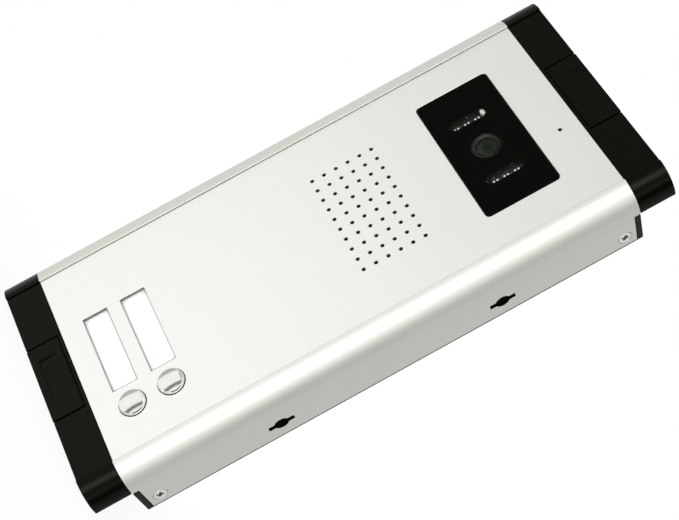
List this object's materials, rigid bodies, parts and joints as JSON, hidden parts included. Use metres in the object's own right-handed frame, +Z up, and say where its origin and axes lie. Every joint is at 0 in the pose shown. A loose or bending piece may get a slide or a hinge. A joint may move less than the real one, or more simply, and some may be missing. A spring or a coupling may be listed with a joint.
{
  "type": "video intercom door station",
  "caption": "Slim upright aluminium door station with black end caps, camera window, speaker grille, name windows and call buttons that press in and spring back.",
  "frame": {"origin": "middle of the back plate's rear face, where the station meets the wall or the back of its wall box", "axes": "+Z up along the housing to the camera end, +Y into the wall, +X to the right of a visitor who faces the front"},
  "size_m": [0.123, 0.0332, 0.2764],
  "materials": {
    "anodised_aluminium": "satin anodised",
    "panel_aluminium": "satin anodised, lighter than the housing",
    "black_plastic": "satin moulded",
    "black_rubber": "matte",
    "zinc_plated_steel": "zinc plated",
    "chrome": "polished sides, satin tops",
    "printed_pane": "gloss, printed black behind",
    "clear_acrylic": "clear gloss",
    "white_card": "plain white",
    "white_plastic": "moulded",
    "circuit_board": "green solder mask",
    "terminal_plastic": "moulded green",
    "led_package": "pale resin",
    "coated_glass": "coated",
    "grey_foam": "foam",
    "black_paper": "pressed",
    "ferrite": "bare",
    "capacitor_can": "sleeved"
  },
  "bodies": {
    "station": {"housing": "anodised_aluminium", "front_panel": "panel_aluminium", "top_end_cap": "black_plastic", "bottom_end_cap": "black_plastic", "back_plate": "black_plastic", "camera_bracket": "black_plastic", "lens_barrel": "black_plastic", "lens_holder": "black_plastic", "lower_switch_body": "black_plastic", "upper_switch_body": "black_plastic", "lock_relay": "black_plastic", "cable_grommet": "black_rubber", "microphone_boot": "black_rubber", "lower_left_side_screw": "zinc_plated_steel", "lower_left_back_screw": "zinc_plated_steel", "lower_right_side_screw": "zinc_plated_steel", "lower_right_back_screw": "zinc_plated_steel", "upper_left_side_screw": "zinc_plated_steel", "upper_left_back_screw": "zinc_plated_steel", "upper_right_side_screw": "zinc_plated_steel", "upper_right_back_screw": "zinc_plated_steel", "lower_button_spring": "zinc_plated_steel", "upper_button_spring": "zinc_plated_steel", "speaker_frame": "zinc_plated_steel", "microphone_capsule": "zinc_plated_steel", "camera_window": "printed_pane", "lower_name_window": "clear_acrylic", "upper_name_window": "clear_acrylic", "lower_name_card": "white_card", "upper_name_card": "white_card", "name_card_holder": "white_plastic", "light_sensor": "white_plastic", "led_board": "circuit_board", "camera_board": "circuit_board", "button_board": "circuit_board", "main_board": "circuit_board", "terminal_block": "terminal_plastic", "left_led_row": "led_package", "right_led_row": "led_package", "lens_glass": "coated_glass", "speaker_gasket": "grey_foam", "speaker_cone": "black_paper", "speaker_magnet": "ferrite", "board_capacitor": "capacitor_can"},
    "upper_button": {"upper_call_button": "chrome", "upper_switch_plunger": "white_plastic"},
    "lower_button": {"lower_call_button": "chrome", "lower_switch_plunger": "white_plastic"},
    "top_cover": {"top_screw_cover": "black_plastic"},
    "bottom_cover": {"bottom_screw_cover": "black_plastic"}
  },
  "joints": [
    {"name": "upper_button_press", "type": "slide", "parent": "station", "child": "upper_button", "axis": [0, 1, 0], "range_m": [0, 0.0012], "stiffness_N_per_m": 1500, "springref_m": -0.001, "deforming": ["upper_button_spring"]},
    {"name": "lower_button_press", "type": "slide", "parent": "station", "child": "lower_button", "axis": [0, 1, 0], "range_m": [0, 0.0012], "stiffness_N_per_m": 1500, "springref_m": -0.001, "deforming": ["lower_button_spring"]},
    {"name": "top_cover_pull", "type": "slide", "parent": "station", "child": "top_cover", "axis": [0, -1, 0], "range_m": [0, 0.012]},
    {"name": "bottom_cover_pull", "type": "slide", "parent": "station", "child": "bottom_cover", "axis": [0, -1, 0], "range_m": [0, 0.012]}
  ]
}
